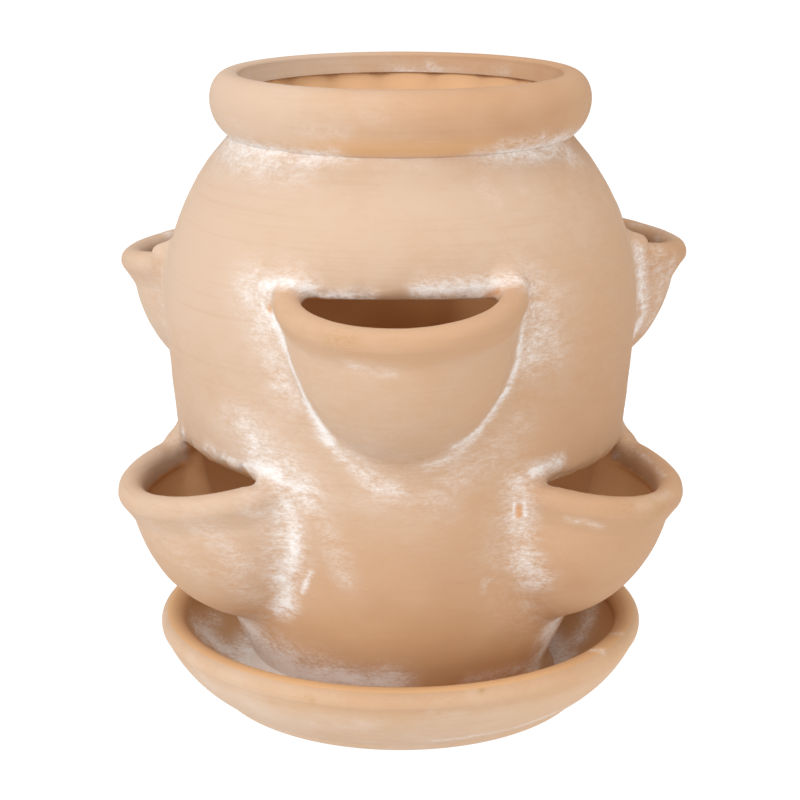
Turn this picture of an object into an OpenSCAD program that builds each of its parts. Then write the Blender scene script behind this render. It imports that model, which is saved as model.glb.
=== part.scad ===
// Strawberry jar planter: a round-bellied terracotta jar with two staggered tiers
// of planting pockets, standing loose in its own saucer.
// Millimetres. Z is up, the Z axis is the jar's axis, and the saucer rests on z = 0.
// The front is -Y. Heights named "_z" in the jar's sections are above the jar's foot.

/* [Jar] */
// Height of the jar, from its foot to the crown of its rim
jar_height = 296; // [275:1:320]
// Diameter of the jar at its widest
belly_d = 224; // [212:1:236]
// Height from the widest line up to the groove under the rim
shoulder_h = 80.5; // [74:0.5:86]
// Radius of the shoulder's arc, from the widest line up to the neck
shoulder_arc = 117; // [112:1:124]
// Lean of the flank below the belly, in degrees
flank_angle = 5.4; // [4:0.1:7]
// Height of the straight flank, between the shoulder's arc and the heel's curve
flank_h = 44; // [32:1:54]
// Diameter of the foot, over its flare
foot_d = 153.4; // [144:0.2:162]
// Thickness of the jar's wall
jar_wall = 9; // [7:0.5:11]
// Thickness of the jar's floor
jar_floor = 9; // [7:0.5:14]
// Height of the flare at the foot
foot_h = 11; // [8:0.5:15]
// How far the foot flares out past the wall
foot_flare = 4.5; // [2:0.5:6]
// Diameter of the drain hole in the floor
drain_d = 20; // [10:1:30]

/* [Rim] */
// Height from the groove up to the roll's widest line
roll_low_h = 17; // [14:0.5:20]
// Height from the roll's widest line up to its crown
roll_high_h = 12.5; // [10:0.5:15]
// How far the roll stands out past the groove
roll_out = 9; // [6:0.5:12]
// Distance from the roll's widest line in to its crown
roll_crown_in = 9.4; // [8:0.2:11]
// Width of the crown's rounding towards the mouth
mouth_round = 4; // [3:0.5:6]
// Height of the rim's inner face, from the crown down to the step
mouth_face_h = 10.5; // [8:0.5:12]
// How far the inner face leans in towards its lower edge
mouth_face_lean = 3.5; // [1:0.5:5]
// Depth of the step under the inner face
mouth_step = 3.5; // [2:0.5:5]

/* [Pockets] */
// Outer diameter of the thrown cup that each pocket is cut from
cup_d = 100.6; // [92:0.2:106]
// Depth of the cup below its lip
cup_depth = 77.5; // [72:0.5:86]
// Depth at which the cup begins to round in
cup_full_depth = 12; // [9:0.5:16]
// How fast the cup tapers: 1 is an ellipse, more is nearer a cone
cup_taper = 1.25; // [1.1:0.05:1.4]
// Thickness of the cup's wall
cup_wall = 5.2; // [4.4:0.2:6.6]
// Thickness of the rolled lip
lip_d = 12.2; // [11:0.2:14]
// How far the lip's inner face stands in past the cup's inner face
lip_step = 2.2; // [1:0.2:3.4]
// How far the window's edge in the jar's wall stands in past the cup's inner face
window_margin = 4; // [2:0.5:6]

/* [Upper pockets] */
// Height of the lips above the jar's widest line, at their cups' axes
upper_lip_h = 23.5; // [20:0.5:26]
// How far inside the jar's surface the cups' axes cross the height of their lips
upper_bite = 8; // [6:0.5:12]
// Tilt of the cups, outwards, in degrees
upper_tilt = 9.5; // [7:0.5:12]
// Height of the windows' level top edge above the lips
upper_window_rise = 1.5; // [0:0.5:4]
// Sideways lean of the front pocket, in degrees
front_lean = -1.5; // [-3:0.5:3]
// Sideways lean of the two rear pockets, their rear ends up, in degrees
rear_lean = 3; // [0:0.5:4]
// How much lower the left one of the rear pockets was luted on
rear_left_drop = 4; // [0:0.5:8]
// How much nearer the jar's axis the left one of the rear pockets was luted on
rear_left_in = 4; // [0:0.5:5]

/* [Lower pockets] */
// Height of the lips above the jar's foot, at their cups' axes
lower_lip_z = 117.5; // [115:0.5:121]
// How far inside the jar's surface the cups' axes cross the height of their lips
lower_bite = 16; // [13:0.5:19]
// Tilt of the cups, outwards, in degrees
lower_tilt = 12.5; // [10:0.5:14]
// Height of the windows' level top edge above the lips
lower_window_rise = 4; // [1:0.5:6]
// Sideways lean of the two side pockets, their rear ends down, in degrees
lower_lean = 2.5; // [0:0.5:4]

/* [Saucer] */
// Diameter over the saucer's lip
saucer_d = 236; // [228:1:250]
// Height of the middle of the saucer's lip
saucer_lip_z = 37; // [32:1:40]
// Thickness of the saucer's rolled lip
saucer_lip_d = 12; // [10:0.5:13]
// Radius of the saucer's wall, in section
saucer_arc = 57.5; // [50:0.5:70]
// Thickness of the saucer's wall
saucer_wall = 8; // [6:0.5:9]
// Thickness of the saucer's floor, which the jar stands on
saucer_floor = 9; // [7:0.5:11]
// How far the saucer's base band stands out past the jar's foot
base_ledge = 15.5; // [12:0.5:20]
// Height of the saucer's base band
base_h = 6.5; // [4:0.5:8]
// Width of the rounding under the base band
base_round = 16; // [8:1:18]
// Least gap between the jar's foot and the rise of the saucer's wall
foot_gap = 0.5; // [0.5:0.5:3]

/* [Hidden] */
$fn = 96;

// Each tier has three pockets a third of a turn apart, and the tiers are staggered.
third = 120;
stagger = 60;

terracotta = [0.84, 0.66, 0.51];
terracotta_shade = [0.80, 0.61, 0.45];

// How far a cutter runs past what it cuts
over = 1;
// Longest chord of a turned outline
chord = 12;
// Chords on a small rounded edge
edge_steps = 5;
// Chords on the roll under the rim
roll_steps = 5;
// Chords from a cup's widest ring to its bottom
cup_steps = 8;

// Groove under the rim, and the jar's widest line
neck_z = jar_height - roll_high_h - roll_low_h;
belly_z = neck_z - shoulder_h;
// Shoulder: one arc whose middle lies at the height of the widest line.
shoulder_mid_r = belly_d / 2 - shoulder_arc;
// Flank: a straight stretch that runs on from the shoulder's arc.
flank_top_r = shoulder_mid_r + shoulder_arc * cos(flank_angle);
flank_top_z = belly_z - shoulder_arc * sin(flank_angle);
flank_z = flank_top_z - flank_h;
flank_low_r = flank_top_r - flank_h * tan(flank_angle);
// Heel: one long arc that runs on from the flank and ends at the foot's flare.
foot_r = foot_d / 2;
heel_span = [foot_r - foot_flare - flank_low_r, foot_h - flank_z];
heel_in = [-cos(flank_angle), sin(flank_angle)];
heel_arc = heel_span * heel_span / (2 * heel_span * heel_in);
heel_mid = [flank_low_r, flank_z] + heel_arc * heel_in;

// Radius of the jar's turned surface at a height, or of the surface a depth below it.
function jar_r(z, depth = 0) =
    z > flank_top_z ? shoulder_mid_r + sqrt(pow(shoulder_arc - depth, 2) - pow(z - belly_z, 2)) :
    z > flank_z ? flank_top_r - (flank_top_z - z) * tan(flank_angle) - depth / cos(flank_angle) :
    heel_mid[0] + sqrt(pow(heel_arc - depth, 2) - pow(z - heel_mid[1], 2));

// Heights from one to another in equal steps no longer than a chord.
function heights(from, to) =
    let (steps = ceil(abs(to - from) / chord))
    [for (i = [0:steps]) from + (to - from) * i / steps];

// Quarter of an ellipse about a middle, from one angle to another.
function round_edge(mid, across, up, from, to, steps) =
    [for (i = [0:steps]) let (a = from + (to - from) * i / steps)
        mid + [across * cos(a), up * sin(a)]];

neck_r = jar_r(neck_z);

// Rolled rim
roll_r = neck_r + roll_out;
roll_z = neck_z + roll_low_h;
crown_r = roll_r - roll_crown_in;
// The roll's lower side is one arc, upright at the widest line and ending in the groove.
roll_arc = (pow(roll_low_h, 2) + pow(roll_out, 2)) / (2 * roll_out);
roll_turn = atan2(roll_low_h, roll_arc - roll_out);
// Mouth, from the crown's rounding down the inner face to the step
mouth_r = crown_r - mouth_round;
mouth_round_h = mouth_round / 2;
step_z = jar_height - mouth_face_h;
step_r = mouth_r - mouth_face_lean;
neck_in_z = neck_z - jar_wall / 2;

// Half outline of the jar's outside, from the foot up to the crown.
function jar_outside() = concat(
    round_edge([foot_r, foot_h], foot_flare, foot_h, -90, -180, edge_steps),
    [for (z = heights(foot_h, flank_z)) if (z > foot_h) [jar_r(z), z]],
    [for (z = heights(flank_top_z, neck_z)) [jar_r(z), z]],
    [for (i = [1:roll_steps]) let (a = roll_turn * (1 - i / roll_steps))
        [roll_r - roll_arc * (1 - cos(a)), roll_z - roll_arc * sin(a)]],
    [for (p = round_edge([crown_r, roll_z], roll_crown_in, roll_high_h, 0, 90, edge_steps))
        if (p[1] > roll_z) p]
);

// Half outline of the jar's inside, from the mouth down to the floor.
function jar_inside() = concat(
    [for (p = round_edge([crown_r, jar_height - mouth_round_h], mouth_round, mouth_round_h,
        90, 180, edge_steps)) if (p[0] < crown_r) p],
    [[step_r, step_z], [step_r + mouth_step, step_z - mouth_step / 2]],
    [for (z = heights(neck_in_z, jar_floor)) [jar_r(z, jar_wall), z]]
);

// Cup: an elliptical bowl about its own axis, with its lip's middle at z = 0.
cup_r = cup_d / 2;
cup_bowl_h = cup_depth - cup_full_depth;
lip_r = lip_d / 2;
lip_in_r = cup_r - cup_wall - lip_step;
lip_ring_r = lip_in_r + lip_r;

// Half outline of the cup below its lip, or of the surface a depth below it.
function cup_outline(depth) =
    [for (i = [0:cup_steps]) let (a = 90 * i / cup_steps)
        [(cup_r - depth) * pow(cos(a), cup_taper), -cup_full_depth - (cup_bowl_h - depth) * sin(a)]];

// Saucer: its wall is one arc from the base band up to the lip.
base_r = foot_r + base_ledge;
rest_r = base_r - base_round;
lip_edge_r = saucer_d / 2;
saucer_lip_r = saucer_lip_d / 2;
wall_chord = [lip_edge_r - base_r, saucer_lip_z - base_h];
wall_chord_len = norm(wall_chord);
wall_sag = sqrt(pow(saucer_arc, 2) - pow(wall_chord_len / 2, 2));
wall_mid = [base_r, base_h] + wall_chord / 2
    + wall_sag * [-wall_chord[1], wall_chord[0]] / wall_chord_len;
wall_low_turn = atan2(base_h - wall_mid[1], base_r - wall_mid[0]);
wall_top_turn = atan2(saucer_lip_z - wall_mid[1], lip_edge_r - wall_mid[0]);
wall_steps = 7;
// Its inside ends on the floor, or straight above it where the jar's foot comes nearer.
inner_arc = saucer_arc - saucer_wall;
inner_floor_turn = asin(max(-1, (saucer_floor - wall_mid[1]) / inner_arc));
inner_foot_turn = -acos(min(1, max(-1, (foot_r + foot_gap - wall_mid[0]) / inner_arc)));
inner_low_turn = max(inner_floor_turn, inner_foot_turn);
inner_low = wall_mid + inner_arc * [cos(inner_low_turn), sin(inner_low_turn)];
inner_top_turn = asin((saucer_lip_z - wall_mid[1]) / inner_arc);

// Puts a cup at its place round the jar: its own frame is tilted out and leans sideways.
module at_pocket(turn, reach, lip_z, tilt, lean) {
    rotate([0, 0, turn]) translate([0, -reach, saucer_floor + lip_z])
        rotate([0, lean, 0]) rotate([tilt, 0, 0]) children();
}

// Turns a cup's outline about its own axis, starting at its outermost line.
module throw_cup() {
    rotate([0, 0, -90]) rotate_extrude() children();
}

// Turns the jar's outline about its axis, with the jar's foot on the saucer's floor.
module throw_jar() {
    translate([0, 0, saucer_floor]) rotate_extrude() children();
}

// What the potter cut from the jar's wall behind a cup, up to the window's level top edge.
module window_cut(turn, reach, lip_z, tilt, lean, rise) {
    window_depth = cup_wall + window_margin;
    intersection() {
        at_pocket(turn, reach, lip_z, tilt, lean) throw_cup() polygon(concat(
            [[0, lip_d], [cup_r - window_depth, lip_d]], cup_outline(window_depth)
        ));
        translate([0, 0, saucer_floor]) cylinder(d = belly_d + cup_d, h = lip_z + rise);
    }
}

// A thrown cup before it is hollowed: a tapering bowl with a rolled lip.
module cup_solid() {
    throw_cup() polygon(concat([[0, 0], [cup_r, 0]], cup_outline(0)));
    throw_cup() translate([lip_ring_r, 0]) circle(r = lip_r);
}

// A cup's hollow: the lip's inner face stands in past the wall under it.
module cup_hollow() {
    throw_cup() polygon(concat(
        [[0, lip_r + over], [lip_in_r, lip_r + over], [lip_in_r, -lip_r],
            [lip_in_r + lip_step, -lip_r - lip_step / 2]],
        cup_outline(cup_wall)
    ));
}

// The jar as a solid from its outline's last ring below one height to its first above another.
module jar_band(low, high) {
    low_z = max([for (p = jar_outside()) if (p[1] <= low) p[1]]);
    high_z = min([for (p = jar_outside()) if (p[1] >= high) p[1]]);
    throw_jar() polygon(concat([[0, high_z], [0, low_z]],
        [for (p = jar_outside()) if (p[1] >= low_z && p[1] <= high_z) p]));
}

// One pocket: the part of a cup that stands outside the jar, luted to its wall.
module pocket(turn, reach, lip_z, tilt, lean) {
    difference() {
        at_pocket(turn, reach, lip_z, tilt, lean) cup_solid();
        jar_band(lip_z - cup_depth, lip_z + cup_r * sin(tilt) + lip_d);
        at_pocket(turn, reach, lip_z, tilt, lean) cup_hollow();
    }
}

// Both tiers' lips, and how far from the jar's axis their cups' axes cross that height
upper_lip_z = belly_z + upper_lip_h;
upper_reach = jar_r(upper_lip_z) - upper_bite;
lower_reach = jar_r(lower_lip_z) - lower_bite;

// Where each pocket sits: its turn round the jar, reach, lip's height, tilt, lean and
// its window's rise.
upper_front = [0, upper_reach, upper_lip_z, upper_tilt, front_lean, upper_window_rise];
upper_rear_right = [third, upper_reach, upper_lip_z, upper_tilt, -rear_lean, upper_window_rise];
upper_rear_left = [-third, upper_reach - rear_left_in, upper_lip_z - rear_left_drop,
    upper_tilt, rear_lean, upper_window_rise];
lower_right = [stagger, lower_reach, lower_lip_z, lower_tilt, lower_lean, lower_window_rise];
lower_rear = [stagger + third, lower_reach, lower_lip_z, lower_tilt, 0, lower_window_rise];
lower_left = [-stagger, lower_reach, lower_lip_z, lower_tilt, -lower_lean, lower_window_rise];
places = [upper_front, upper_rear_right, upper_rear_left, lower_right, lower_rear, lower_left];

module pocket_at(place) {
    color(terracotta) pocket(place[0], place[1], place[2], place[3], place[4]);
}

// Jar: foot, belly, neck and rolled rim, with a window behind each pocket.
module jar_body() {
    color(terracotta) difference() {
        throw_jar() polygon(concat([[0, jar_floor], [0, 0]], jar_outside(), jar_inside()));
        translate([0, 0, saucer_floor - over]) cylinder(d = drain_d, h = jar_floor + 2 * over);
        for (p = places) window_cut(p[0], p[1], p[2], p[3], p[4], p[5]);
    }
}

// Saucer: flat base band, curved wall and rolled lip.
module saucer() {
    color(terracotta_shade) union() {
        rotate_extrude() polygon(concat(
            [[0, saucer_floor], [0, 0]],
            round_edge([rest_r, base_h], base_round, base_h, -90, 0, edge_steps),
            [for (i = [1:wall_steps])
                let (a = wall_low_turn + (wall_top_turn - wall_low_turn) * i / wall_steps)
                wall_mid + saucer_arc * [cos(a), sin(a)]],
            [for (i = [0:wall_steps])
                let (a = inner_top_turn + (inner_low_turn - inner_top_turn) * i / wall_steps)
                wall_mid + inner_arc * [cos(a), sin(a)]],
            [if (inner_low[1] > saucer_floor + 0.01) [inner_low[0], saucer_floor]]
        ));
        rotate_extrude() translate([lip_edge_r - saucer_lip_r, saucer_lip_z]) circle(r = saucer_lip_r);
    }
}

saucer();
jar_body();
pocket_at(upper_front);  // upper_pocket_front
pocket_at(upper_rear_right);  // upper_pocket_rear_right
pocket_at(upper_rear_left);  // upper_pocket_rear_left
pocket_at(lower_right);  // lower_pocket_right
pocket_at(lower_rear);  // lower_pocket_rear
pocket_at(lower_left);  // lower_pocket_left
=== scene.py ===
import math

import bpy
import numpy as np
from mathutils import Matrix, Vector


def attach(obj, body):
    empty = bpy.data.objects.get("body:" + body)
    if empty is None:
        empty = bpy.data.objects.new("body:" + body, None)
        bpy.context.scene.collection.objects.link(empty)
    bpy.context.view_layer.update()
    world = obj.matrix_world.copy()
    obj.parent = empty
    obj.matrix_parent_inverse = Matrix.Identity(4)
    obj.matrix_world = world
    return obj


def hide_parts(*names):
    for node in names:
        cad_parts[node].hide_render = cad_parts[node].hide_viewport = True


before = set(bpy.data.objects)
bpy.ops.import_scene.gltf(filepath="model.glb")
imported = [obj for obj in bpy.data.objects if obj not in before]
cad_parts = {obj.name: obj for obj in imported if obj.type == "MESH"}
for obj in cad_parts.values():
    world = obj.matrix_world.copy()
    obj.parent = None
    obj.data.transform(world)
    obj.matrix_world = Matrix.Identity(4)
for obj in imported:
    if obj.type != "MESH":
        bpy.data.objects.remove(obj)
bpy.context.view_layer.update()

# Camera ---------------------------------------------------------------------
# The photographer's camera: a long lens about a metre from the jar's axis, a
# little above the rim and looking 15 degrees down, fitted to the jar's outlines.
mm = 0.001
# the picture's side in pixels, and the film's width in mm
picture, film = 800, 36
camera_back, camera_up, camera_tilt, camera_lens = 991 * mm, 414.3 * mm, math.radians(74.84), 95.445
bpy.ops.object.camera_add(location=(0, -camera_back, camera_up), rotation=(camera_tilt, 0, 0))
camera = bpy.context.object
camera.name = "photo_camera"
camera.data.sensor_width = film
camera.data.lens = camera_lens
camera.data.shift_x = -0.5 / picture
camera.data.clip_start = 0.05
bpy.context.scene.camera = camera
bpy.context.view_layer.update()


# Jar ------------------------------------------------------------------------
# The thrown jar: terracotta, turned on a wheel from foot to rolled rim, with a
# drain hole in its floor. Its outline follows the solids' in finer steps, with a
# shallower ledge in the mouth and a wider, taller sweep at the foot.
saucer_floor = 9 * mm
belly_r, belly_z = 112 * mm, 186 * mm
shoulder_arc, heel_arc = 117 * mm, 330 * mm
flank_angle, flank_z = math.radians(5.4), 131 * mm
jar_wall, jar_floor, drain_r = 9 * mm, 9 * mm, 10 * mm
foot_h, foot_flare = 11 * mm, 4.5 * mm
neck_z, roll_low_h, roll_high_h = 266.5 * mm, 17 * mm, 12.5 * mm
roll_out, roll_crown_in = 9 * mm, 9.4 * mm
mouth_round, mouth_face_h, mouth_face_lean, mouth_step = 4 * mm, 9.4 * mm, 3.5 * mm, 1.6 * mm

shoulder_mid_r = belly_r - shoulder_arc
flank_top_r = shoulder_mid_r + shoulder_arc * math.cos(flank_angle)
flank_top_z = belly_z - shoulder_arc * math.sin(flank_angle)
flank_low_r = flank_top_r - (flank_top_z - flank_z) * math.tan(flank_angle)
heel_mid_r = flank_low_r - heel_arc * math.cos(flank_angle)
heel_mid_z = flank_z + heel_arc * math.sin(flank_angle)


def jar_r(z, depth=0.0):
    """Radius of the jar's outside at heights above its foot, or of the surface a depth below it."""
    z = np.asarray(z, float)
    shoulder = shoulder_mid_r + np.sqrt(np.maximum((shoulder_arc - depth) ** 2 - (z - belly_z) ** 2, 0))
    flank = flank_top_r - (flank_top_z - z) * math.tan(flank_angle) - depth / math.cos(flank_angle)
    heel = heel_mid_r + np.sqrt((heel_arc - depth) ** 2 - (z - heel_mid_z) ** 2)
    return np.where(z > flank_top_z, shoulder, np.where(z > flank_z, flank, heel))


def heights(start, end, step=3 * mm):
    """Even steps from a start to an end, at most a step apart."""
    return np.linspace(start, end, int(math.ceil(abs(end - start) / step)) + 1)


def arc(middle, across, up, start, end, steps):
    """Points on part of an ellipse, as (radius, height), with angles in degrees."""
    turns = np.radians(np.linspace(start, end, steps + 1))
    return [(middle[0] + across * math.cos(a), middle[1] + up * math.sin(a)) for a in turns]


foot_r = float(jar_r(foot_h)) + foot_flare
neck_r = float(jar_r(neck_z))
roll_r, roll_z = neck_r + roll_out, neck_z + roll_low_h
crown_r, jar_h = roll_r - roll_crown_in, neck_z + roll_low_h + roll_high_h
roll_arc = (roll_low_h ** 2 + roll_out ** 2) / (2 * roll_out)
roll_turn = math.degrees(math.atan2(roll_low_h, roll_arc - roll_out))
step_r, step_z = crown_r - mouth_round - mouth_face_lean, jar_h - mouth_face_h


def roll_outline():
    """The rolled rim's outline: from the groove under it over its crown to the ledge in the mouth."""
    points = [(neck_r - 3 * mm, neck_z)]
    points += [(roll_r - roll_arc * (1 - math.cos(a)), roll_z - roll_arc * math.sin(a))
               for a in np.radians(np.linspace(roll_turn, 0, 13))]
    points += arc((crown_r, roll_z), roll_crown_in, roll_high_h, 0, 90, 14)[1:]
    points += arc((crown_r, jar_h - mouth_round / 2), mouth_round, mouth_round / 2, 90, 180, 8)[1:]
    face = np.linspace(points[-1], (step_r, step_z), 6)[1:-1].tolist()
    ledge = [(step_r + 0.1 * mm, step_z + 0.3 * mm), (step_r, step_z),
             (step_r + 0.4 * mm, step_z - 0.2 * mm), (step_r + 5 * mm, step_z - mm)]
    return points + face + ledge


def foot_outline():
    """The foot's outline: a sweep from just inside the jar's wall out to the saucer's floor."""
    sweep_r, sweep_h, sunk = foot_r + 2 * mm, 15 * mm, 0.6 * mm
    wall_r = float(jar_r(sweep_h))
    sweep = arc((sweep_r, sweep_h), sweep_r - wall_r + sunk, sweep_h, -90, -180, 14)
    return sweep + [(wall_r - 3 * mm, sweep_h + mm), (foot_r - 9 * mm, mm)]


def jar_outline():
    """The jar's outline under the roll: up its outside, on into the roll, and down its inside to the floor."""
    core_r, core_z = neck_r - 0.5 * mm, step_z + 2.5 * mm
    points = [(float(jar_r(z)), z) for z in heights(0, neck_z)]
    points += [(core_r, neck_z + mm), (core_r, core_z), (step_r + 3 * mm, core_z), (step_r + mouth_step, step_z)]
    points += [(float(jar_r(z, jar_wall)), z) for z in heights(neck_z - jar_wall / 2, jar_floor, 5 * mm)]
    return points + [(drain_r, jar_floor), (drain_r, 0)]


def pick(*pieces):
    """Selects these pieces alone, with the last one active."""
    bpy.ops.object.select_all(action="DESELECT")
    for piece in pieces:
        piece.select_set(True)
    bpy.context.view_layer.objects.active = pieces[-1]


def turned(name, outline, lift=0.0, steps=192):
    """Throws an outline of (radius, height) points round the Z axis and returns the closed piece."""
    bpy.ops.object.select_all(action="DESELECT")
    bpy.ops.mesh.primitive_circle_add(vertices=len(outline), radius=0.1, location=(0, 0, 0))
    piece = bpy.context.object
    piece.name = name
    for vertex, (radius, height) in zip(piece.data.vertices, outline):
        vertex.co = (radius, 0, height + lift)
    bpy.ops.object.mode_set(mode="EDIT")
    bpy.ops.mesh.select_all(action="SELECT")
    bpy.ops.mesh.spin(steps=steps, angle=2 * math.pi, center=(0, 0, 0), axis=(0, 0, 1))
    bpy.ops.mesh.select_all(action="SELECT")
    bpy.ops.mesh.remove_doubles(threshold=0.01 * mm)
    bpy.ops.mesh.normals_make_consistent(inside=False)
    bpy.ops.object.mode_set(mode="OBJECT")
    return piece


def carve(piece, cutter):
    """Cuts one piece out of another and throws the cutter away."""
    pick(piece)
    knife = piece.modifiers.new("carve", "BOOLEAN")
    knife.operation, knife.solver, knife.object = "DIFFERENCE", "EXACT", cutter
    bpy.ops.object.modifier_apply(modifier="carve")
    bpy.data.objects.remove(cutter)


jar = turned("terracotta_jar", jar_outline(), saucer_floor)


# Pockets --------------------------------------------------------------------
# Six thrown cups, each cut to the jar's outside and luted on with slip while
# leather-hard. Behind each, the potter cut a window in the jar's wall.
cup_r, cup_depth, cup_full_depth = 50.3 * mm, 77.5 * mm, 12 * mm
cup_taper, cup_wall, cup_steps = 1.25, 5.2 * mm, 96
lip_r, lip_step = 6.1 * mm, 2.2 * mm
window_margin, knife_fall = 1.5 * mm, math.radians(10)
lip_in_r = cup_r - cup_wall - lip_step
lip_ring_r = lip_in_r + lip_r

# turn round the jar, reach, lip's height, tilt, lean
pocket_places = {
    "upper_pocket_front": (0, 101.6 * mm, 209.5 * mm, 9.5, -1.5),
    "upper_pocket_rear_right": (120, 101.6 * mm, 209.5 * mm, 9.5, -3),
    "upper_pocket_rear_left": (-120, 97.6 * mm, 205.5 * mm, 9.5, 3),
    "lower_pocket_right": (60, 89.8 * mm, 117.5 * mm, 12.5, 2.5),
    "lower_pocket_rear": (180, 89.8 * mm, 117.5 * mm, 12.5, 0),
    "lower_pocket_left": (-60, 89.8 * mm, 117.5 * mm, 12.5, -2.5),
}
# window's rise above the lip, and how deep and how high its outer edge is pared
window_edges = {
    "upper_pocket_front": (1.0 * mm, 1.8 * mm, 5 * mm),
    "upper_pocket_rear_right": (1.5 * mm, 0.8 * mm, 2 * mm),
    "upper_pocket_rear_left": (1.5 * mm, 1 * mm, 3 * mm),
    "lower_pocket_right": (3.6 * mm, 2.4 * mm, 4.5 * mm),
    "lower_pocket_rear": (3.6 * mm, 1 * mm, 3 * mm),
    "lower_pocket_left": (4.6 * mm, 4.8 * mm, 8 * mm),
}
# the lumps of clay over the left and right ends of each lip, as radii
lump_sizes = {name: (8.2 * mm, 8.2 * mm) for name in pocket_places}
lump_sizes["upper_pocket_front"] = 7.0 * mm, 7.0 * mm
lump_sizes["lower_pocket_right"] = 5.6 * mm, 8.2 * mm
lump_sizes["lower_pocket_left"] = 8.2 * mm, 5.6 * mm


def pocket_frame(turn, reach, lip_z, tilt, lean):
    """A cup's own frame: its origin in the middle of its lip, its Z along the cup's axis."""
    return (Matrix.Rotation(math.radians(turn), 4, "Z") @ Matrix.Translation((0, -reach, saucer_floor + lip_z))
            @ Matrix.Rotation(math.radians(lean), 4, "Y") @ Matrix.Rotation(math.radians(tilt), 4, "X"))


def outward(turn):
    """The level direction that a pocket faces."""
    return Vector((math.sin(math.radians(turn)), -math.cos(math.radians(turn)), 0))


def knife_height(name, points):
    """Heights of points above the straight cut that ends a pocket's window, which falls inwards."""
    turn, _, lip_z, _, _ = pocket_places[name]
    level = lip_z + window_edges[name][0]
    out = points @ np.array(outward(turn)) - float(jar_r(level))
    return points[:, 2] - saucer_floor - level - math.tan(knife_fall) * out


def cup_outline(depth, steps=26):
    """A cup's outline below its lip, or that of the surface a depth below it."""
    return [((cup_r - depth) * max(math.cos(a), 0) ** cup_taper,
             -cup_full_depth - (cup_depth - cup_full_depth - depth) * math.sin(a))
            for a in np.radians(np.linspace(0, 90, steps + 1))]


def set_in(piece, place):
    """Puts a piece made about the Z axis into a pocket's frame, and applies it to the mesh."""
    piece.matrix_world = pocket_frame(*place)
    pick(piece)
    bpy.ops.object.transform_apply(location=True, rotation=True, scale=True)
    return piece


def in_pocket(points, place):
    """Where points are in a pocket's own frame."""
    home = np.array(pocket_frame(*place).inverted())
    return points @ home[:3, :3].T + home[:3, 3]


def cup_section():
    """A cup's wall and rolled lip as one closed outline, from the bottom up and down again inside."""
    lip = arc((lip_ring_r, 0), lip_r, lip_r, -40, 180, 26)
    wall = cup_outline(0)[::-1]
    inner = [(lip_in_r + 0.1 * mm, -lip_r), (lip_in_r + lip_step, -lip_r - lip_step / 2)] + cup_outline(cup_wall)
    return wall + [p for p in lip if p[0] < cup_r or p[1] > -5 * mm] + inner


# Windows: each ends above in a straight cut, level from side to side and falling inwards.
for name, place in pocket_places.items():
    window_r, above = cup_r - cup_wall - window_margin, 2 * lip_r
    window = [(0, above), (window_r, above)] + cup_outline(cup_wall + window_margin)
    cutter = set_in(turned("window", window, steps=cup_steps), place)
    facing, level = outward(place[0]), place[2] + window_edges[name][0]
    bpy.ops.object.mode_set(mode="EDIT")
    bpy.ops.mesh.select_all(action="SELECT")
    bpy.ops.mesh.bisect(plane_co=facing * float(jar_r(level)) + Vector((0, 0, saucer_floor + level)),
                        plane_no=Vector((0, 0, 1)) - facing * math.tan(knife_fall), clear_outer=True, use_fill=True)
    bpy.ops.object.mode_set(mode="OBJECT")
    carve(jar, cutter)

# Cups: cut to the jar's shape, and sunk far enough into its wall to fuse with it.
cup_sunk = 3 * mm
jar_core = [(0, 0)] + [(float(jar_r(z, cup_sunk)), z) for z in heights(foot_h, neck_z)] + [(0, neck_z)]
cups = []
for name, place in pocket_places.items():
    cups.append(set_in(turned(name + "_cup", cup_section(), steps=cup_steps), place))
    carve(cups[-1], turned("jar_core", jar_core, saucer_floor))

# A lump of clay is pressed over each end of a cup's lip and pulled up onto the jar.
lump_lift = 0.44
lumps, lump_places = [], []
for name, place in pocket_places.items():
    for hand, size in zip((-1, 1), lump_sizes[name]):
        turns = np.radians(np.linspace(60, 140, 161))
        ends = np.stack((hand * lip_ring_r * np.sin(turns), -lip_ring_r * np.cos(turns),
                         0 * turns, 1 + 0 * turns), axis=1)
        ends = (ends @ np.array(pocket_frame(*place)).T)[:, :3]
        outside = np.hypot(ends[:, 0], ends[:, 1]) - jar_r(ends[:, 2] - saucer_floor)
        end = ends[np.argmin(abs(outside - mm))] + [0, 0, lump_lift * size]
        lump_places.append((end, size))
        bpy.ops.mesh.primitive_uv_sphere_add(segments=24, ring_count=16, radius=size, location=end)
        lumps.append(bpy.context.object)
pick(*cups, *lumps, jar)
bpy.ops.object.join()
fine_voxel, quick_voxel = 1.5 * mm, 2.4 * mm
voxel = fine_voxel
luting = jar.modifiers.new("luting", "REMESH")
luting.mode, luting.voxel_size = "VOXEL", voxel
bpy.ops.object.modifier_apply(modifier="luting")


def cup_gap(points, place):
    """Distance of points outside one cup's outer surface, its rolled lip included."""
    local = in_pocket(points, place)
    radius, height = np.hypot(local[:, 0], local[:, 1]) / cup_r, local[:, 2]
    bowl_h, power = cup_depth - cup_full_depth, 2 / cup_taper
    drop = np.maximum(-height - cup_full_depth, 0) / bowl_h
    steep = np.hypot(power * np.maximum(radius, 0.02) ** (power - 1) / cup_r, 2 * drop / bowl_h)
    bowl = np.where(height > 0, 1.0, (radius ** power + drop ** 2 - 1) / steep)
    return np.minimum(bowl, np.hypot(radius * cup_r - lip_ring_r, height) - lip_r)


def jar_gap(points):
    """Distance of points outside the jar's turned surface."""
    radius, height = np.hypot(points[:, 0], points[:, 1]), points[:, 2] - saucer_floor
    slope = (jar_r(height + mm) - jar_r(height - mm)) / (2 * mm)
    return np.where(height > neck_z, 1.0, (radius - jar_r(height)) / np.sqrt(1 + slope ** 2))


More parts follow.
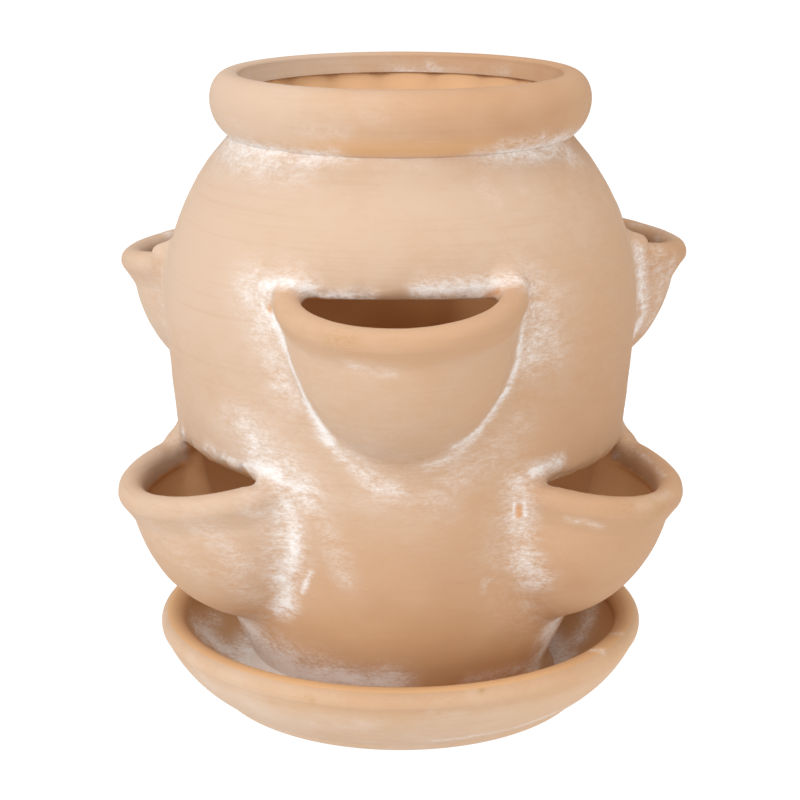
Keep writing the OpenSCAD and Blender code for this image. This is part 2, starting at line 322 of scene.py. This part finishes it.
def seams(points):
    """For each point, its distance to the nearest cup's seam on the jar, which side of it the
    point is on (1 on the jar, -1 on the cup), its place along the seam and the depth below the lip."""
    outside = jar_gap(points)
    seam, side = np.full(len(points), 1.0), np.zeros(len(points))
    along, depth = np.zeros(len(points)), np.zeros(len(points))
    for number, place in enumerate(pocket_places.values()):
        gap, local = cup_gap(points, place), in_pocket(points, place)
        here = np.where(np.minimum(gap, outside) > -2.5 * mm, np.maximum(gap, outside), 1.0)
        nearer = here < seam
        seam[nearer] = np.maximum(here, 0)[nearer]
        side[nearer] = np.clip((gap - outside) / (4 * mm), -1, 1)[nearer]
        along[nearer] = (np.arctan2(local[:, 0], -local[:, 1]) * cup_r + number)[nearer]
        depth[nearer] = -local[nearer, 2]
    return seam, side, along, depth


def near_lips(points, close, far):
    """1 within a close distance of the middle of a lip's roll, 0 past a far one."""
    near = np.zeros(len(points))
    for place in pocket_places.values():
        local = in_pocket(points, place)
        across = np.hypot(local[:, 0], local[:, 1])
        near = np.maximum(near, np.clip((far - np.hypot(across - lip_ring_r, local[:, 2])) / (far - close), 0, 1))
    return near


def mesh_points(piece):
    """A piece's points, one row each."""
    points = np.empty(len(piece.data.vertices) * 3)
    piece.data.vertices.foreach_get("co", points)
    return points.reshape(-1, 3)


def set_points(piece, points):
    """Moves a piece's points to new places."""
    piece.data.vertices.foreach_set("co", points.ravel())
    piece.data.update()


def weigh(piece, name, weights):
    """Keeps weights as a vertex group, in steps of a twentieth."""
    group = piece.vertex_groups.new(name=name)
    steps = np.round(weights * 20).astype(int)
    for step in range(1, 21):
        group.add(np.flatnonzero(steps == step).tolist(), step / 20, "REPLACE")


def wobble(points, fineness, seed=0.0):
    """A gentle, lumpy unevenness between -1 and 1, the same each run."""
    x, y, z = (points * fineness).T + seed
    return (np.sin(x + 1.7 * np.sin(0.8 * y + z)) + np.sin(1.3 * y - 0.9 * z + 1.4 * np.sin(1.1 * x))
            + np.sin(1.2 * z + 1.6 * np.sin(0.7 * x - y))) / 3


# Luting: the seams are filled and wiped smooth with a wet thumb, widest under the cups.
thumb_narrow, thumb_wider, thumb_strokes = 9 * mm, 13 * mm, 110
seam, _, _, depth = seams(mesh_points(jar))
reach = thumb_narrow + thumb_wider * np.clip((depth - 15 * mm) / (45 * mm), 0, 1)
weigh(jar, "luted", np.clip(1.25 * (1 - seam / reach), 0, 1))
thumb = jar.modifiers.new("thumb", "SMOOTH")
thumb.vertex_group, thumb.factor = "luted", 0.7
thumb.iterations = int(thumb_strokes * (fine_voxel / voxel) ** 2)
bpy.ops.object.modifier_apply(modifier="thumb")
sponge = jar.modifiers.new("sponge", "SMOOTH")
sponge.factor, sponge.iterations = 0.5, 2
bpy.ops.object.modifier_apply(modifier="sponge")

# A thrown jar is never quite round: it stands in and out by about 0.3 mm at most.
points = mesh_points(jar)
flat_r = np.hypot(points[:, 0], points[:, 1])
uneven = 1 + (0.22 * wobble(points, 110) + 0.1 * wobble(points, 310, 5)) * mm / flat_r
points[:, :2] *= uneven[:, None]
flat_r = flat_r * uneven

# Paring: the potter's knife took a sloping sliver off the outer edge of each window's top.
# It fades out towards the window's ends and near the lumps, and spares the lip.
pared_half, pared_fade, lump_fade = 42 * mm, 9 * mm, 8 * mm
clear = np.min([np.linalg.norm(points - end, axis=1) - size for end, size in lump_places], axis=0)
for name, (rise, pared_in, pared_up) in window_edges.items():
    turn = pocket_places[name][0]
    up, gap = knife_height(name, points), jar_gap(points)
    across = abs(points @ np.array(outward(turn + 90)))
    chip = 1 + 0.35 * wobble(points, 420, rise * 900)
    share = np.clip(1 - up / (pared_up * chip), 0, 1) * np.clip((pared_half - across) / pared_fade, 0, 1)
    share *= np.clip(clear / lump_fade - 0.05, 0, 1)
    share *= np.clip((5 * mm - gap) / (3 * mm), 0, 1)
    near = (points @ np.array(outward(turn)) > 0.6 * flat_r) & (up > -2 * mm) & (gap > -7 * mm)
    proud = flat_r - jar_r(points[:, 2] - saucer_floor) + pared_in * chip * share
    over = np.maximum(proud, 0) * np.minimum(share * 2, 1)
    shrink = np.where(near, 1 - over / flat_r, 1)
    points[:, :2] *= shrink[:, None]
    flat_r = flat_r * shrink
set_points(jar, points)

# The mesh is thinned where the jar is plain, and least along seams, lips and foot.
clay_faces = 165000
plain = np.clip(seams(points)[0] / (45 * mm), 0.15, 1) * (1 - 0.7 * near_lips(points, 9 * mm, 20 * mm))
weigh(jar, "plain", plain * np.clip((points[:, 2] - saucer_floor) / (40 * mm), 0.4, 1))
thin = jar.modifiers.new("thin", "DECIMATE")
thin.vertex_group = "plain"
thin.ratio = min(1, clay_faces / sum(len(face.vertices) - 2 for face in jar.data.polygons))
bpy.ops.object.modifier_apply(modifier="thin")
jar.vertex_groups.clear()

# The rolled rim and the foot's flare are turned by themselves, so that they stay crisp.
rim = turned("rolled_rim", roll_outline(), saucer_floor)
foot = turned("flared_foot", foot_outline(), saucer_floor)
pick(rim, foot, jar)
bpy.ops.object.join()
bpy.ops.object.shade_smooth()
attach(jar, "jar")
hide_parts("jar_body", *pocket_places)


# Clay and wash --------------------------------------------------------------
# Pale, sandy terracotta, fired and left unglazed. It was brushed with thin lime
# wash and wiped back, so that white stays in the seams, the groove and the marks.
# lime wash in two copies: a shaded one on most of the piece, and a lit one where painted light is laid on
lime, shaded_lime = (0.97, 0.95, 0.93, 1), (0.73, 0.715, 0.71, 1)
sand, ochre, chipped = (0.8, 0.66, 0.54, 1), (0.36, 0.22, 0.07, 1), (0.55, 0.27, 0.11, 1)
# clay colours for painted light: a paler orange on the low parts that lie in shade, a saturated orange for the
# hollows, standing in for the light bounced inside them, and a brighter orange for a painted patch of light inside
# the mouth
painted_bounce_clay, painted_hollow_clay, painted_sunlit_clay = (0.62, 0.36, 0.175, 1), (0.63, 0.37, 0.18, 1), (0.76, 0.455, 0.265, 1)


class Amount:
    """A varying number in a finish: sums on it add Math nodes."""

    def __init__(self, finish, socket):
        self.finish, self.socket = finish, socket

    def sum(self, operation, first, second):
        return self.finish.node("ShaderNodeMath", {"operation": operation}, **{"0": first, "1": second})

    def __add__(self, other): return self.sum("ADD", self, other)
    def __radd__(self, other): return self.sum("ADD", other, self)
    def __sub__(self, other): return self.sum("SUBTRACT", self, other)
    def __rsub__(self, other): return self.sum("SUBTRACT", other, self)
    def __mul__(self, other): return self.sum("MULTIPLY", self, other)
    def __rmul__(self, other): return self.sum("MULTIPLY", other, self)

    def most(self, other): return self.sum("MAXIMUM", self, other)

    def between(self, low, high):
        """0 below low, 1 above high, and a soft step from one to the other."""
        return self.finish.node("ShaderNodeMapRange", {"interpolation_type": "SMOOTHSTEP"},
                                **{"0": self, "1": low, "2": high})


class Finish:
    """A fired and washed surface, built up node by node."""

    def __init__(self, name):
        self.material = bpy.data.materials.new(name)
        self.material.use_nodes = True
        self.nodes, self.links = self.material.node_tree.nodes, self.material.node_tree.links
        self.nodes.clear()
        self.place = self.node("ShaderNodeTexCoord", output="Object")

    def node(self, kind, settings=None, output=0, **sockets):
        """Adds a node: its settings first, then the values or links of its sockets."""
        node = self.nodes.new(kind)
        for setting, value in (settings or {}).items():
            setattr(node, setting, value)
        for name, value in sockets.items():
            socket = node.inputs[int(name)] if name.isdigit() else node.inputs[name.replace("_", " ")]
            if isinstance(value, Amount):
                self.links.new(value.socket, socket)
            else:
                socket.default_value = value
        return Amount(self, node.outputs[output]) if node.outputs else None

    def noise(self, stretch, detail=4, roughness=0.55, warp=0.0):
        """Noise with its own fineness along X, Y and Z, in lumps per metre."""
        mapped = self.node("ShaderNodeMapping", Vector=self.place, Scale=stretch)
        return self.node("ShaderNodeTexNoise", Vector=mapped, Scale=1.0, Detail=detail,
                         Roughness=roughness, Distortion=warp)

    def painted(self, name):
        """An amount that was left on the piece's own points."""
        return self.node("ShaderNodeAttribute", {"attribute_name": name}, output="Fac")

    def blend(self, amount, under, over):
        """One colour laid over another by an amount."""
        return self.node("ShaderNodeMix", {"data_type": "RGBA"}, output=2, **{"0": amount, "6": under, "7": over})


def terracotta(name, pale, tan, deep):
    """Washed clay in a pale, a tan and a deep colour of one body."""
    clay = Finish(name)
    # unevenness from broad to fine, and the level lines left by throwing
    cloud = clay.noise((11, 11, 13), 3)
    patch = clay.noise((38, 38, 50), 4, 0.6)
    thrown = clay.noise((9, 9, 520), 4, 0.6)
    fluff = clay.noise((110, 110, 240), 8, 0.78, 0.5)
    dust = clay.noise((420, 420, 900), 5, 0.75)
    grain = clay.noise((1500, 1500, 1500), 2)
    seam, along, side = clay.painted("seam"), clay.painted("along"), clay.painted("side")
    follow = clay.node("ShaderNodeCombineXYZ", X=along * 60, Y=seam * 600, Z=side * 3)
    followed = clay.node("ShaderNodeTexNoise", Vector=follow, Scale=1.0, Detail=6, Roughness=0.72)
    # wash: the brush strokes, a line left in the seams, and a faint glow beside them
    feather = fluff * 1.5 + dust * 1.1 - 1.3
    haze = clay.painted("wash") * (patch * 0.8 + 0.6)
    uneven = (cloud * 0.5 + patch * 0.8).between(0.5, 0.82)
    line = (seam * -1000 + 3.6 + (followed - 0.5) * 9 + (fluff - 0.5) * 9).between(0.0, 7.0)
    glow = (seam * -45 + 1).between(0.0, 1.2)
    bed = line * uneven * 0.4 + glow * (followed * 0.8 + feather - 0.25) * 0.45
    wash = (haze * 1.05 + feather * haze.between(0.0, 0.6) * 1.35).between(0.02, 1.3).most(bed) * 0.93
    # clay: its body under a pale bloom that is partly painted light, its throwing lines, sand and stains, and painted
    # light and shade on its low parts and in its hollows
    veil_and_painted_light = (clay.painted("veil_and_painted_light") + (cloud - 0.5) * 1.3 + (patch - 0.5) * 0.8 + (fluff - 0.5) * 0.6).between(-0.1, 1.1)
    stain = clay.painted("ochre") * (patch * 0.5 + dust * 0.5).between(0.44, 0.56)
    painted_light, inside, bare = clay.painted("painted_light"), clay.painted("inside"), clay.painted("bare")
    body = clay.blend((cloud * 0.6 + patch * 0.4).between(0.38, 0.66), tan, deep)
    body = clay.blend(veil_and_painted_light, body, pale)
    body = clay.blend((thrown - 0.5).between(0.02, 0.25) * 0.19, body, deep)
    body = clay.blend(grain.between(0.6, 0.8) * 0.10, body, sand)
    body = clay.blend(stain, body, ochre)
    # painted light on the low parts that lie in shade, and painted light and shade in the hollows
    body = clay.blend(painted_light, body, painted_bounce_clay)
    body = clay.blend(inside.between(0.0, 1.0), body, painted_hollow_clay)
    body = clay.blend(inside.between(1.0, 2.0), body, painted_sunlit_clay)
    # the wash's white: its shaded copy, turning to its lit copy where painted light is laid on
    washed = clay.blend(wash, body, clay.blend(painted_light, shaded_lime, lime))
    washed = clay.blend(bare, washed, chipped)
    rough = thrown * 0.8 + grain * 0.22 + dust * 0.2 + wash * (0.3 + fluff * 0.6) - bare * 3
    relief = clay.node("ShaderNodeBump", Strength=0.4, Distance=0.35 * mm, Height=rough)
    shader = clay.node("ShaderNodeBsdfPrincipled", Base_Color=washed, Normal=relief, Roughness=0.8 + wash * 0.14)
    clay.node("ShaderNodeOutputMaterial", Surface=shader)
    return clay.material


def ease(values, low, high):
    """0 below low, 1 above high, and a soft step from one to the other."""
    share = np.clip((values - low) / (high - low), 0, 1)
    return share * share * (3 - 2 * share)


def attribute(piece, name, values):
    """Leaves an amount on a piece's own points, for its finish to read."""
    layer = piece.data.attributes.new(name, "FLOAT", "POINT")
    layer.data.foreach_set("value", np.ascontiguousarray(values, np.float32))


def seen(piece, x, y):
    """The point of a piece that the camera sees at a pixel of the picture."""
    across, up = x - picture / 2 - 0.5, picture / 2 - y
    ray = camera.matrix_world.to_3x3() @ Vector((across, up, -camera.data.lens / film * picture))
    hit, place, _, _ = piece.ray_cast(camera.location, ray.normalized())
    return np.array(place if hit else (9, 9, 9))


def brushed(piece, points, strokes):
    """Wash left by brush strokes of (strength, width in mm, pixels), and by their like round the back."""
    left = np.zeros(len(points))
    back = np.clip(points[:, 1] / (30 * mm) + 0.2, 0, 1)
    for strength, width, pixels in strokes:
        path = [seen(piece, x, y) for x, y in pixels]
        for turn in (0, 120, 240):
            spun = np.array(Matrix.Rotation(math.radians(turn), 3, "Z"))
            for start, end in zip(path, path[1:] or path):
                start, end = spun @ start, spun @ end
                run = end - start
                share = np.clip((points - start) @ run / max(run @ run, 1e-9), 0, 1)
                away = np.linalg.norm(points - start - share[:, None] * run, axis=1) / (width * mm)
                dab = strength * np.exp(-0.8 * away ** 1.6)
                left = np.maximum(left, dab if turn == 0 else dab * back)
    return left


# Strokes of wash, by place: strength, width in mm, and the picture's pixels that the brush ran through.
groove_wash = [
    (0.85, 5.5, [(229, 140), (248, 147), (275, 152), (305, 156), (335, 158)]),
    (0.5, 11, [(236, 152), (262, 160), (300, 166)]),
    (0.3, 12.2, [(255, 170), (310, 176)]),
    (0.3, 3.8, [(345, 159), (400, 161), (460, 159)]),
    (0.8, 5.5, [(478, 156), (505, 154), (530, 149), (556, 142), (571, 137)]),
    (0.45, 5, [(500, 146), (540, 140)]),
]
roll_wash = [
    (0.25, 5, [(303, 131), (345, 135)]),
    (0.18, 3.8, [(362, 114), (385, 119)]),
    (0.3, 3.8, [(234, 124), (243, 131)]),
    (0.4, 3.8, [(385, 73), (430, 70)]),
    (0.6, 2.2, [(428, 64), (436, 70)]),
    (0.28, 5, [(440, 70), (505, 70)]),
]
shoulder_wash = [
    (0.25, 5, [(485, 190), (497, 203)]),
    (0.2, 5, [(520, 188), (532, 200)]),
]
front_left_wash = [
    (0.8, 5, [(262, 287), (288, 282), (310, 288)]),
    (0.9, 2.5, [(268, 284), (290, 281)]),
    (0.5, 14, [(252, 290), (262, 305), (270, 330)]),
    (0.35, 8, [(235, 292), (262, 280), (300, 275)]),
    (1.0, 1.2, [(262, 303), (266, 312), (274, 316)]),
    (0.95, 4.4, [(273, 318), (281, 335), (288, 355), (298, 381), (312, 411), (327, 437)]),
    (0.45, 10.8, [(262, 330), (275, 360), (290, 395)]),
]
front_window_wash = [
    (0.85, 2.8, [(312, 295), (340, 296), (371, 297)]),
    (0.95, 5, [(425, 292), (460, 290), (492, 288)]),
    (0.9, 1.4, [(314, 294), (345, 296), (371, 297)]),
    (1.0, 1.6, [(425, 291), (460, 288), (499, 286)]),
]
front_right_wash = [
    (0.62, 6, [(500, 283), (512, 279), (524, 281)]),
    (0.5, 13.5, [(530, 290), (538, 320), (533, 350)]),
    (0.3, 17.6, [(547, 300), (550, 350)]),
    (0.75, 3.8, [(525, 315), (520, 347), (511, 380), (497, 405), (480, 428), (457, 446)]),
    (0.32, 3.8, [(350, 365), (372, 369), (392, 374)]),
]
front_bottom_wash = [
    (0.65, 3.8, [(320, 433), (340, 454), (360, 473), (377, 490)]),
    (0.45, 6.8, [(345, 450), (368, 474), (398, 492)]),
    (0.3, 12.2, [(375, 488), (410, 500), (440, 502)]),
    (0.55, 3.8, [(480, 430), (457, 454), (428, 466)]),
    (0.32, 13.5, [(515, 430), (490, 455), (455, 475)]),
]
lower_window_wash = [
    (0.75, 2.4, [(184, 430), (187, 444), (208, 448), (232, 461), (251, 468)]),
    (0.65, 2.4, [(555, 480), (590, 466), (602, 461), (616, 453)]),
]
lower_left_wash = [
    (1.0, 5, [(255, 466), (266, 470), (279, 477)]),
    (0.65, 12.2, [(258, 458), (285, 475), (300, 492)]),
    (0.5, 10.8, [(246, 425), (262, 450)]),
    (0.35, 16.2, [(235, 420), (262, 440), (285, 470)]),
    (0.85, 5, [(287, 505), (294, 530), (294, 550), (290, 566)]),
    (0.5, 12.2, [(283, 505), (285, 540), (284, 570)]),
    (0.75, 6.8, [(283, 580), (286, 600), (280, 610)]),
    (0.75, 1.7, [(311, 572), (302, 592)]),
    (0.32, 8.1, [(318, 505), (332, 545), (346, 584)]),
    (0.35, 8.1, [(250, 508), (270, 515)]),
]
lower_right_wash = [
    (0.8, 4, [(533, 472), (545, 467), (560, 462)]),
    (1.0, 1.2, [(515, 503), (513, 512), (516, 520)]),
    (1.0, 1.2, [(524, 503), (525, 516)]),
    (0.55, 9.5, [(518, 484), (519, 500), (520, 530)]),
    (0.65, 9.5, [(521, 556), (533, 578)]),
    (0.3, 13.5, [(505, 520), (500, 560)]),
    (0.22, 2, [(526, 536), (545, 538)]),
    (0.4, 2.6, [(567, 519), (585, 522), (600, 527)]),
    (0.4, 2, [(633, 448), (653, 463), (664, 476)]),
    (0.4, 2.2, [(484, 592), (484, 582), (492, 578)]),
]
upper_side_wash = [
    (0.4, 4, [(128, 244), (145, 236), (168, 234)]),
    (0.3, 10, [(150, 275), (163, 310)]),
    (0.3, 3.5, [(634, 224), (655, 227), (677, 238)]),
    (0.7, 6, [(637, 252), (641, 275), (642, 300)]),
    (0.4, 9, [(657, 255), (661, 290), (650, 322)]),
    (0.4, 6, [(672, 262), (668, 285)]),
]
lower_lip_wash = [
    (0.3, 3, [(116, 508), (131, 518), (160, 527)]),
    (0.25, 3, [(118, 462), (112, 478)]),
    (0.35, 12, [(205, 530), (240, 565)]),
    (0.25, 14, [(160, 530), (205, 575)]),
    (0.3, 10, [(225, 575), (262, 600)]),
    (0.3, 4, [(640, 505), (668, 492)]),
]
foot_wash = [
    (1.1, 17, [(250, 628), (258, 645), (270, 660), (292, 670)]),
    (1.0, 9.5, [(296, 668), (340, 679), (390, 683)]),
    (0.5, 14, [(262, 635), (285, 655), (320, 668)]),
    (1.0, 11, [(553, 625), (549, 640), (540, 655)]),
    (0.5, 5, [(535, 660), (512, 670), (470, 680)]),
]
jar_strokes = (groove_wash + roll_wash + shoulder_wash + front_left_wash + front_window_wash
               + front_right_wash + front_bottom_wash + lower_window_wash + lower_left_wash
               + lower_right_wash + upper_side_wash + lower_lip_wash + foot_wash)
# small chips in the clay's edges, and ochre marks on its sides, in the same way
jar_chips = [
    (1, 1.3, [(270, 309)]),
    (1, 1.3, [(519, 508), (519, 516)]),
    (0.9, 1.8, [(489, 296), (498, 292)]),
    (0.6, 0.9, [(378, 296), (388, 294)]),
    (0.6, 0.9, [(402, 293), (412, 295)]),
]
jar_ochre = [
    (0.5, 4, [(333, 340), (347, 341)]),
    (0.6, 4, [(410, 345), (440, 343)]),
    (0.5, 5, [(625, 508), (660, 505)]),
    (1.0, 0.9, [(436, 341), (441, 341)]),
    (1.0, 0.8, [(434, 351)]),
]

points = mesh_points(jar)
bpy.context.view_layer.update()
right, height = points[:, 0], points[:, 2] - saucer_floor
flat_r = np.hypot(points[:, 0], points[:, 1])

# wash that ran down onto the foot, highest at the left
round_left = 0.5 - 0.5 * right / np.maximum(flat_r, mm)
run_height = (17 + 42 * ease(round_left, 0.6, 0.95)) * mm
run_down = (0.3 + 0.95 * ease(round_left, 0.52, 0.82)) * ease(-height, -run_height, -7 * mm)

# painted light and shade in the hollows: 1 inside the cups and the jar, a saturated orange that stands in for the
# light inside them, up to 2 in a painted patch of light inside the mouth, absent at its left and weaker in a painted
# shadow under the ledge
lips, within = np.zeros(len(points)), np.zeros(len(points))
for place in pocket_places.values():
    local = in_pocket(points, place)
    across = np.hypot(local[:, 0], local[:, 1])
    lips = np.maximum(lips, ease(-np.hypot(across - lip_ring_r, local[:, 2]), -12 * mm, -6 * mm))
    in_cup = (local[:, 2] < -lip_r * 0.8) * (local[:, 2] > -cup_depth)
    within = np.maximum(within, ease(-cup_gap(points, place), 3 * mm, 5 * mm) * in_cup)
within = np.maximum(within, ease(-jar_gap(points), 1.5 * mm, 3.5 * mm) * (height < neck_z)) * (height > -1 * mm)
behind_face = (flat_r > step_r + 0.8 * mm + 0.5 * (height - step_z)) & (height < step_z + 3 * mm)
hollow_r = np.where(height > neck_z - jar_wall, step_r + 4 * mm, jar_r(height) - 3 * mm)
hollow = (flat_r < hollow_r) & (height > jar_floor / 2)
hollow &= (height < step_z - 0.1 * mm) | behind_face
# painted shadow just under the mouth's ledge: 0.3 there, rising to 1 at 5 mm below it
painted_ledge_shadow = 0.3 + 0.7 * ease(-height, -step_z, -step_z + 5 * mm)
painted_sun_patch = ease(height, 200 * mm, 240 * mm) * ease(right, -72 * mm, -28 * mm) * painted_ledge_shadow
within = np.maximum(within, hollow * (1 + painted_sun_patch))
# painted shade on the underside of the roll, strongest near the groove
painted_roll_shade = 0.65 * ease(-height, -neck_z - 15 * mm, -neck_z - 3 * mm)
painted_roll_shade = painted_roll_shade * (height > neck_z + 0.3 * mm) * (flat_r > neck_r + 0.1 * mm)

# pale bloom, partly a real bloom of wash and partly painted light: strongest at the left and on the shoulder, where
# the light falls, weakest low down, on the roll and on the lips
bloom_and_painted_light = 0.42 - 0.4 * right / belly_r + 0.35 * ease(height, 150 * mm, 240 * mm)
bloom_and_painted_light = bloom_and_painted_light - 0.75 * ease(-height, -120 * mm, -30 * mm)
bloom_and_painted_light = bloom_and_painted_light - (0.5 + 0.8 * right / belly_r) * ease(height, neck_z - 2 * mm, neck_z + 6 * mm)
bloom_and_painted_light = bloom_and_painted_light - lips * (0.05 + 0.35 * ease(height, 140 * mm, 190 * mm))

# the hollows' painted light and shade, and the painted shade under the roll, which is strongest at the middle of the
# front and the back
attribute(jar, "inside", np.maximum(within, painted_roll_shade * ease(-abs(right), -90 * mm, -15 * mm)))
attribute(jar, "wash", np.maximum(brushed(jar, points, jar_strokes), run_down) * (1 - np.minimum(within, 1)))
# painted light: clay and wash paler on the lowest 75 mm, most near the foot, which lie in shade
attribute(jar, "painted_light", 0.8 * ease(-height, -75 * mm, -8 * mm))
attribute(jar, "veil_and_painted_light", bloom_and_painted_light)
for name, values in zip(("seam", "side", "along"), seams(points)):
    attribute(jar, name, values)
attribute(jar, "bare", brushed(jar, points, jar_chips))
attribute(jar, "ochre", brushed(jar, points, jar_ochre))
jar_pale, jar_tan, jar_deep = (0.51, 0.37, 0.27, 1), (0.47, 0.285, 0.165, 1), (0.43, 0.24, 0.125, 1)
jar.data.materials.clear()
jar.data.materials.append(terracotta("washed_jar_clay", jar_pale, jar_tan, jar_deep))


# Saucer ---------------------------------------------------------------------
# A thrown terracotta dish with a flat base band and a rolled lip. It is a loose
# piece that the jar stands in, and most of the wash ran down onto its floor.
saucer_lip_edge, saucer_lip_z, saucer_lip_r = 118 * mm, 37 * mm, 6 * mm
saucer_arc, saucer_wall = 57.5 * mm, 8 * mm
base_r, base_h, base_round = foot_r + 15.5 * mm, 6.5 * mm, 16 * mm
chord = Vector((saucer_lip_edge - base_r, saucer_lip_z - base_h))
sag = math.sqrt(saucer_arc ** 2 - (chord.length / 2) ** 2)
bow = Vector((base_r, base_h)) + chord / 2 + sag * Vector((-chord.y, chord.x)) / chord.length


def bow_turn(z, radius):
    """The angle at which an arc about the wall's bow reaches a height."""
    return math.degrees(math.asin((z - bow.y) / radius))


inner_arc = saucer_arc - saucer_wall
gutter_r = bow.x + inner_arc * math.cos(math.radians(bow_turn(saucer_floor, inner_arc)))


def saucer_outline():
    """The saucer's outline: base band, outside, lip, inside, gutter, floor and underside."""
    band = arc((base_r - base_round, base_h), base_round, base_h, -90, 0, 12)
    low, high = bow_turn(base_h, saucer_arc), bow_turn(saucer_lip_z - 3 * mm, saucer_arc)
    outside = arc(bow, saucer_arc, saucer_arc, low, high, 20)[1:]
    lip = arc((saucer_lip_edge - saucer_lip_r, saucer_lip_z), saucer_lip_r, saucer_lip_r, -20, 200, 24)
    high, low = bow_turn(saucer_lip_z - 4 * mm, inner_arc), bow_turn(saucer_floor + 2.4 * mm, inner_arc)
    inside = arc(bow, inner_arc, inner_arc, high, low, 18)
    gutter = [(gutter_r - r * mm, saucer_floor + z * mm) for r, z in ((0.2, 1.6), (1.4, 0.9), (3, 0.35), (5, 0.1))]
    floor = [(r, saucer_floor) for r in heights(gutter_r - 7 * mm, 58 * mm, 2 * mm)]
    floor += [(r * mm, saucer_floor) for r in (48, 36, 24, 12, 0)]
    underside = [(r * mm, 0) for r in (0, 12, 24, 36, 48, 60, 68)]
    return band + outside + lip + inside + gutter + floor + underside


saucer = turned("terracotta_saucer", saucer_outline(), steps=256)
pick(saucer)
bpy.ops.object.shade_smooth()
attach(saucer, "saucer")
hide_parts("saucer")

# strokes of wash and ochre marks, as on the jar
saucer_strokes = [
    (1.0, 10, [(247, 652), (262, 664), (285, 674)]),
    (0.95, 10, [(203, 632), (232, 652)]),
    (0.6, 6, [(200, 625), (215, 617)]),
    (0.7, 7, [(590, 612), (580, 640)]),
    (0.6, 2, [(592, 650), (603, 651)]),
    (0.4, 2, [(612, 634), (622, 634)]),
    (0.25, 7, [(250, 705), (300, 722), (365, 727)]),
    (0.25, 5, [(435, 712), (455, 716)]),
    (0.25, 6, [(190, 660), (215, 690)]),
    (0.5, 2, [(430, 741), (480, 735), (540, 719), (572, 704)]),
]
saucer_ochre = [
    (0.8, 1.5, [(309, 700)]),
    (0.8, 1.5, [(482, 690)]),
    (0.5, 2, [(432, 699)]),
]

points = mesh_points(saucer)
bpy.context.view_layer.update()
right, height = points[:, 0], points[:, 2]
radius = np.hypot(points[:, 0], points[:, 1])
foot_ring = np.clip(1 - abs(radius - foot_r - 3 * mm) / (14 * mm), 0, 1) * (height > 5 * mm) * (height < 24 * mm)
within = (np.hypot(radius - bow.x, height - bow.y) < saucer_arc - saucer_wall / 2) * ease(height, 3 * mm, 8 * mm)
# the saucer's pale bloom, partly painted light: paler at the left and at both sides, less on its upper wall and lip
bloom_and_painted_light = 0.62 - 0.15 * right / belly_r + 0.35 * abs(right) / belly_r - 0.4 * ease(height, 26 * mm, 34 * mm)
attribute(saucer, "wash", np.maximum(brushed(saucer, points, saucer_strokes), foot_ring))
for name in ("side", "along", "bare", "inside"):
    attribute(saucer, name, np.zeros(len(points)))
attribute(saucer, "veil_and_painted_light", bloom_and_painted_light)
attribute(saucer, "seam", np.ones(len(points)))
# painted light: paler clay and wash inside the saucer and towards its right
attribute(saucer, "painted_light", np.maximum(0.9 * within, 0.35 * ease(right, 0, 110 * mm)))
attribute(saucer, "ochre", brushed(saucer, points, saucer_ochre))
saucer_pale, saucer_tan, saucer_deep = (0.56, 0.41, 0.30, 1), (0.50, 0.31, 0.175, 1), (0.45, 0.255, 0.13, 1)
saucer.data.materials.clear()
saucer.data.materials.append(terracotta("washed_saucer_clay", saucer_pale, saucer_tan, saucer_deep))


# Studio ---------------------------------------------------------------------
# A plain floor of white paper that glows a little, and six round soft boxes: the
# key from the left front and above, one over the jar, and the others to fill.
floor_size, paper_glow, world_glow = 24, 0.97, 0.47
bpy.ops.object.select_all(action="DESELECT")
bpy.ops.mesh.primitive_plane_add(size=floor_size, location=(0, 0, 0))
floor = bpy.context.object
floor.name = "studio_floor"
paper = Finish("white_paper")
paper.node("ShaderNodeOutputMaterial", Surface=paper.node(
    "ShaderNodeBsdfPrincipled", Base_Color=(0.12, 0.12, 0.12, 1), Roughness=1.0,
    Emission_Color=(1, 1, 1, 1), Emission_Strength=paper_glow))
floor.data.materials.append(paper.material)


def soft_light(name, where, size, power, tint=(1, 1, 1)):
    """A round soft box turned towards the middle of the jar."""
    bpy.ops.object.light_add(type="AREA", location=where)
    lamp = bpy.context.object
    lamp.name = name
    lamp.data.shape, lamp.data.size, lamp.data.energy, lamp.data.color = "DISK", size, power, tint
    lamp.rotation_euler = (Vector((0, 0, 150 * mm)) - Vector(where)).to_track_quat("-Z", "Y").to_euler()


soft_light("key_softbox", (-1.5, -1.6, 2.0), 1.5, 34)
soft_light("high_softbox", (-0.3, -2.4, 1.6), 1.4, 11.5)
soft_light("top_softbox", (0.1, 0.1, 2.6), 1.5, 26)
soft_light("fill_softbox", (1.9, -1.3, 0.6), 1.8, 21, (1, 0.92, 0.82))
soft_light("front_softbox", (0.2, -2.4, 0.25), 1.4, 4, (1, 0.90, 0.78))
soft_light("left_softbox", (-2.0, -1.1, 0.3), 1.4, 20, (1, 0.96, 0.90))
world = bpy.data.worlds.new("studio")
world.use_nodes = True
world.node_tree.nodes["Background"].inputs["Color"].default_value = (1, 1, 1, 1)
world.node_tree.nodes["Background"].inputs["Strength"].default_value = world_glow
bpy.context.scene.world = world
bpy.context.scene.view_settings.view_transform = "Standard"
